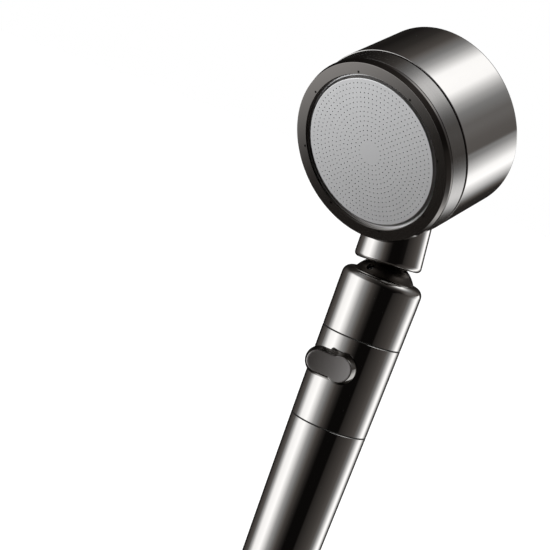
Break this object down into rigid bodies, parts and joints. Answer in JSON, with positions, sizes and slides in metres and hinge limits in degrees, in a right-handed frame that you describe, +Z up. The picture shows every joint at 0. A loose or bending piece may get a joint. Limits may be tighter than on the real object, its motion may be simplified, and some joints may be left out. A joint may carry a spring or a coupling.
{
  "type": "handheld shower head",
  "caption": "Drum-shaped spray head on a ball joint above a tapered round handle, with a small stop lever across the handle and a threaded hose inlet below.",
  "frame": {"origin": "centre of the hose inlet's end face, at the bottom of the handle", "axes": "+Z up the handle to the head; the spray leaves towards -Y and 30 degrees below square to the neck; +X to the right as seen from the front"},
  "size_m": [0.0817, 0.0811, 0.2608],
  "materials": {
    "polished_gunmetal": "polished dark nickel",
    "satin_gunmetal": "fine circular brushing",
    "dark_bezel": "smooth dark coating, half gloss",
    "lever_satin": "satin dark nickel",
    "ball_black": "black-brown coating, half gloss",
    "stainless": "bead-blasted stainless steel",
    "brass": "machined brass",
    "rubber": "black rubber",
    "acetal": "off-white low-friction plastic",
    "housing": "moulded dark plastic"
  },
  "bodies": {
    "handle": {"hose_connector": "polished_gunmetal", "inlet_filter": "stainless", "grip_sleeve": "polished_gunmetal", "lower_tube": "housing", "lower_tube_seal": "rubber", "lower_seam_ring": "rubber", "valve_sleeve": "polished_gunmetal", "valve_block": "housing", "valve_seat_lower": "acetal", "valve_seat_upper": "acetal", "bonnet_nut": "polished_gunmetal", "upper_seam_ring": "rubber", "upper_tube": "housing", "upper_tube_seal": "rubber", "upper_sleeve": "polished_gunmetal", "ball_seat_lower": "acetal", "ball_seal": "rubber", "seat_spring": "stainless"},
    "seat_ring": {"ball_seat_upper": "acetal"},
    "ball": {"swivel_ball": "ball_black", "ball_stem": "brass", "ball_lock_screw": "stainless", "neck_seal": "rubber"},
    "head": {"neck_socket": "polished_gunmetal", "head_cup": "polished_gunmetal", "face_ring": "satin_gunmetal", "front_bezel": "dark_bezel", "spray_plate": "stainless", "plate_gasket": "rubber", "support_grid": "housing", "diffuser_disc": "housing", "chamber_bowl": "housing", "bowl_seal": "rubber", "neck_nipple": "brass", "neck_washer": "rubber", "port_seal": "rubber"},
    "lever": {"stop_lever": "lever_satin", "valve_stem": "brass", "valve_stem_seal": "rubber", "valve_ball": "stainless"}
  },
  "joints": [
    {"name": "head_swivel", "type": "hinge", "parent": "handle", "child": "seat_ring", "pos_m": [0, 0, 0.148], "axis": [0, 0, 1], "continuous": true},
    {"name": "head_tilt", "type": "hinge", "parent": "seat_ring", "child": "ball", "pos_m": [0, 0, 0.148], "axis": [0, 1, 0], "range_deg": [-10.1, 19.9]},
    {"name": "head_spin", "type": "hinge", "parent": "ball", "child": "head", "pos_m": [0, 0, 0.148], "axis": [-0.0854, 0, 0.9963], "continuous": true},
    {"name": "stop_lever_turn", "type": "hinge", "parent": "handle", "child": "lever", "pos_m": [0, 0, 0.1136], "axis": [0.3907, -0.9205, 0], "range_deg": [0, 90]}
  ]
}
